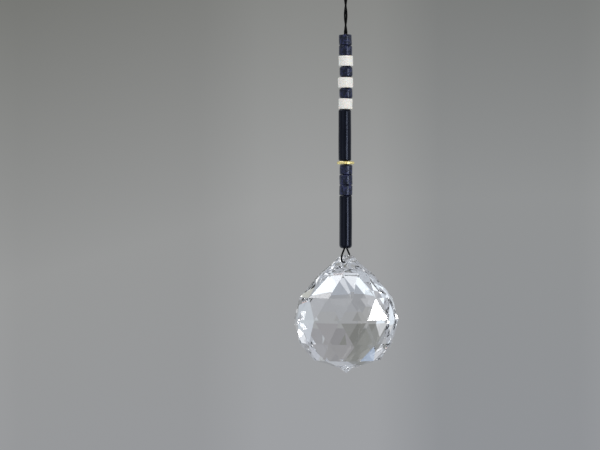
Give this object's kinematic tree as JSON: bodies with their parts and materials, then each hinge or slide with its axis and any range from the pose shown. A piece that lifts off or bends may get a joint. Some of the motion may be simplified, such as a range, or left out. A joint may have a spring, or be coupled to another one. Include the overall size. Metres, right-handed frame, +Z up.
{
  "type": "crystal suncatcher",
  "caption": "Faceted clear glass drop hung by its drilled neck from a black cord strung with dark, white and black tube beads and a gold spacer ring.",
  "frame": {"origin": "inside of the hanging loop's round top, where a hook or nail bears; everything hangs below it", "axes": "+Z up along the hanging string; the front looks along +Y, with +X to the viewer's right"},
  "size_m": [0.0396, 0.0396, 0.1723],
  "materials": {
    "crystal": "polished clear cut glass",
    "dark_bead": "matte, mottled navy-black",
    "white_bead": "satin warm white",
    "tube_bead": "satin blue-black",
    "gold_ring": "bright, polished",
    "cord": "waxed black cord"
  },
  "bodies": {
    "root": {"crystal_drop": "crystal", "dark_bead_1": "dark_bead", "dark_bead_2": "dark_bead", "white_bead_1": "white_bead", "dark_bead_3": "dark_bead", "white_bead_2": "white_bead", "dark_bead_4": "dark_bead", "white_bead_3": "white_bead", "tube_bead_upper": "tube_bead", "gold_ring": "gold_ring", "dark_bead_5": "dark_bead", "dark_bead_6": "dark_bead", "dark_bead_7": "dark_bead", "tube_bead_lower": "tube_bead", "cord": "cord", "cord_binding": "cord", "cord_hanging_loop": "cord"}
  },
  "joints": []
}
